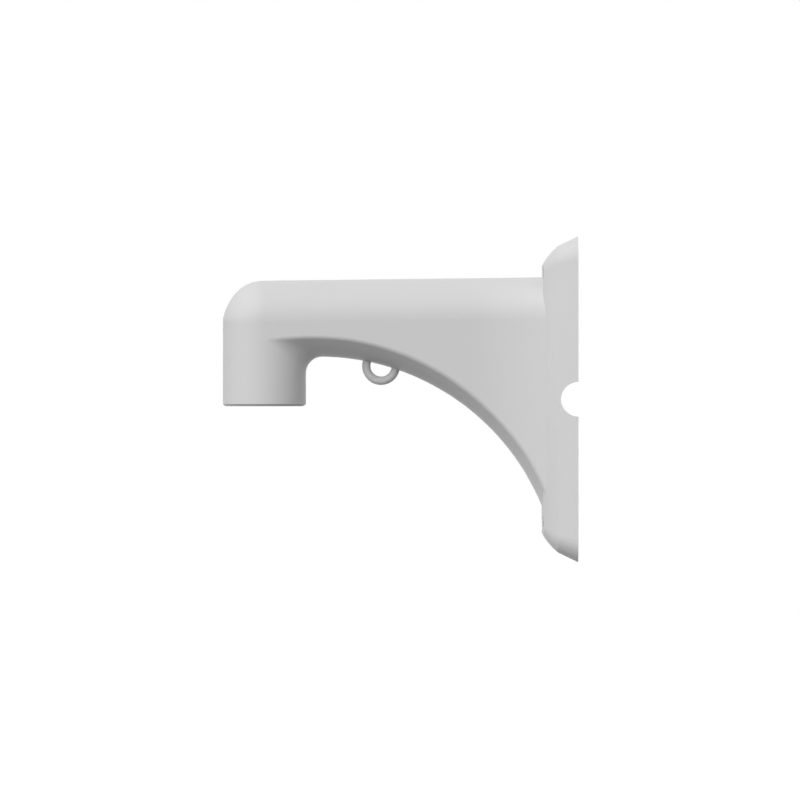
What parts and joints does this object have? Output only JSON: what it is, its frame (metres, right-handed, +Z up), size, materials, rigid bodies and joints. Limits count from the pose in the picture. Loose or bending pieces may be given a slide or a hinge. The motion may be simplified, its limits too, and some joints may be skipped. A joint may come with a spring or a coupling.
{
  "type": "camera wall bracket",
  "caption": "Hollow cast wall bracket: a flange with conduit notches, a curved arm and a down pipe threaded for a dome camera, with a safety rope eye under the arm.",
  "frame": {"origin": "middle of the flange on the wall plane", "axes": "the arm reaches along -X away from the wall, +Z is up, and Y = 0 is the plane of symmetry"},
  "size_m": [0.2557, 0.11, 0.234],
  "materials": {
    "painted_casting": "satin light grey powder coat on die-cast aluminium"
  },
  "bodies": {
    "root": {"bracket_casting": "painted_casting"}
  },
  "joints": []
}
